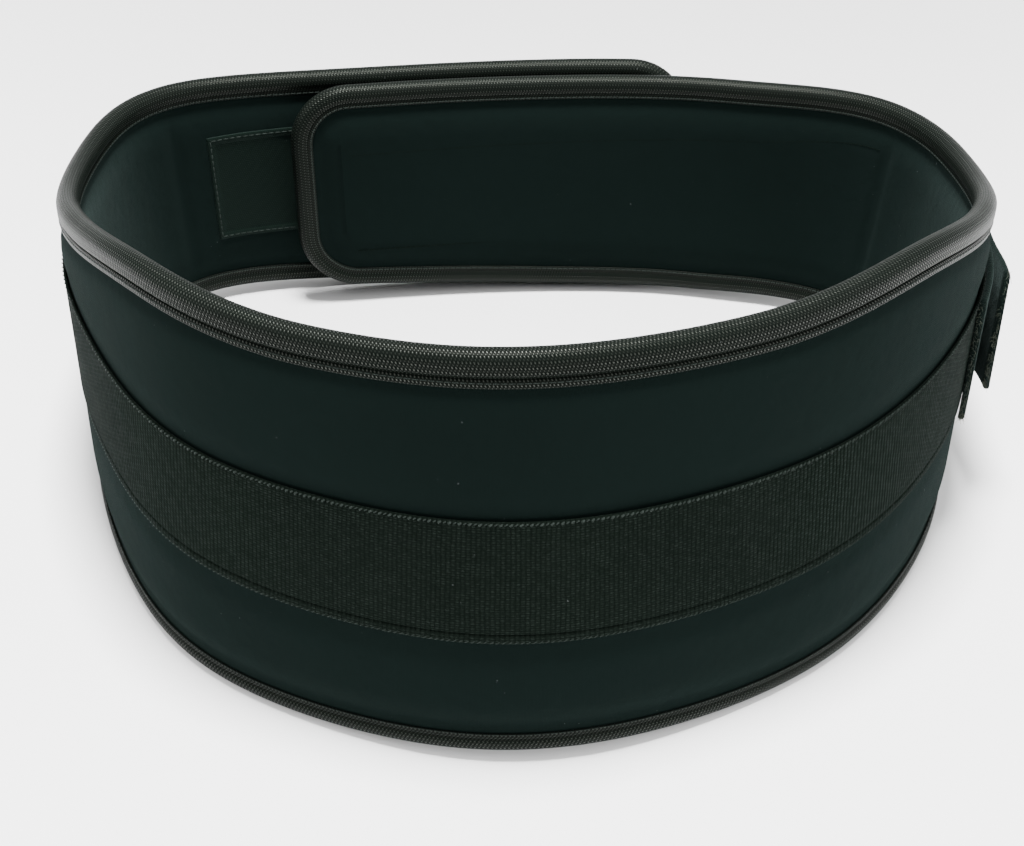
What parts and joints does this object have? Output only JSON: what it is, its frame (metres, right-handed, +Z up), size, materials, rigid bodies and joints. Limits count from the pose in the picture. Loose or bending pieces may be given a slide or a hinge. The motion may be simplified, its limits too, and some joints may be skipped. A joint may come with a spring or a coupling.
{
  "type": "weightlifting belt",
  "caption": "Padded lumbar lifting belt with bound edges and a webbing band, its ends lapped at the rear and closed by a strap, standing on its lower edge.",
  "frame": {"origin": "middle of the belt's box, on the floor it stands on", "axes": "+Z up, -Y towards the wide lumbar part, +X towards the side where the strap is sewn on"},
  "size_m": [0.3626, 0.318, 0.1578],
  "materials": {
    "panel_cloth": "smooth knitted face on foam",
    "binding_tape": "ribbed woven tape",
    "webbing": "woven webbing",
    "ring_steel": "satin wire",
    "strap_pile": "hook-and-loop pile on webbing",
    "patch_cloth": "smooth satin cloth, stitched round"
  },
  "bodies": {
    "root": {"padded_panel": "panel_cloth", "edge_binding": "binding_tape", "webbing_band": "webbing", "ring_keeper": "webbing", "buckle_ring": "ring_steel", "closing_strap": "strap_pile", "inner_patch": "patch_cloth"}
  },
  "joints": []
}
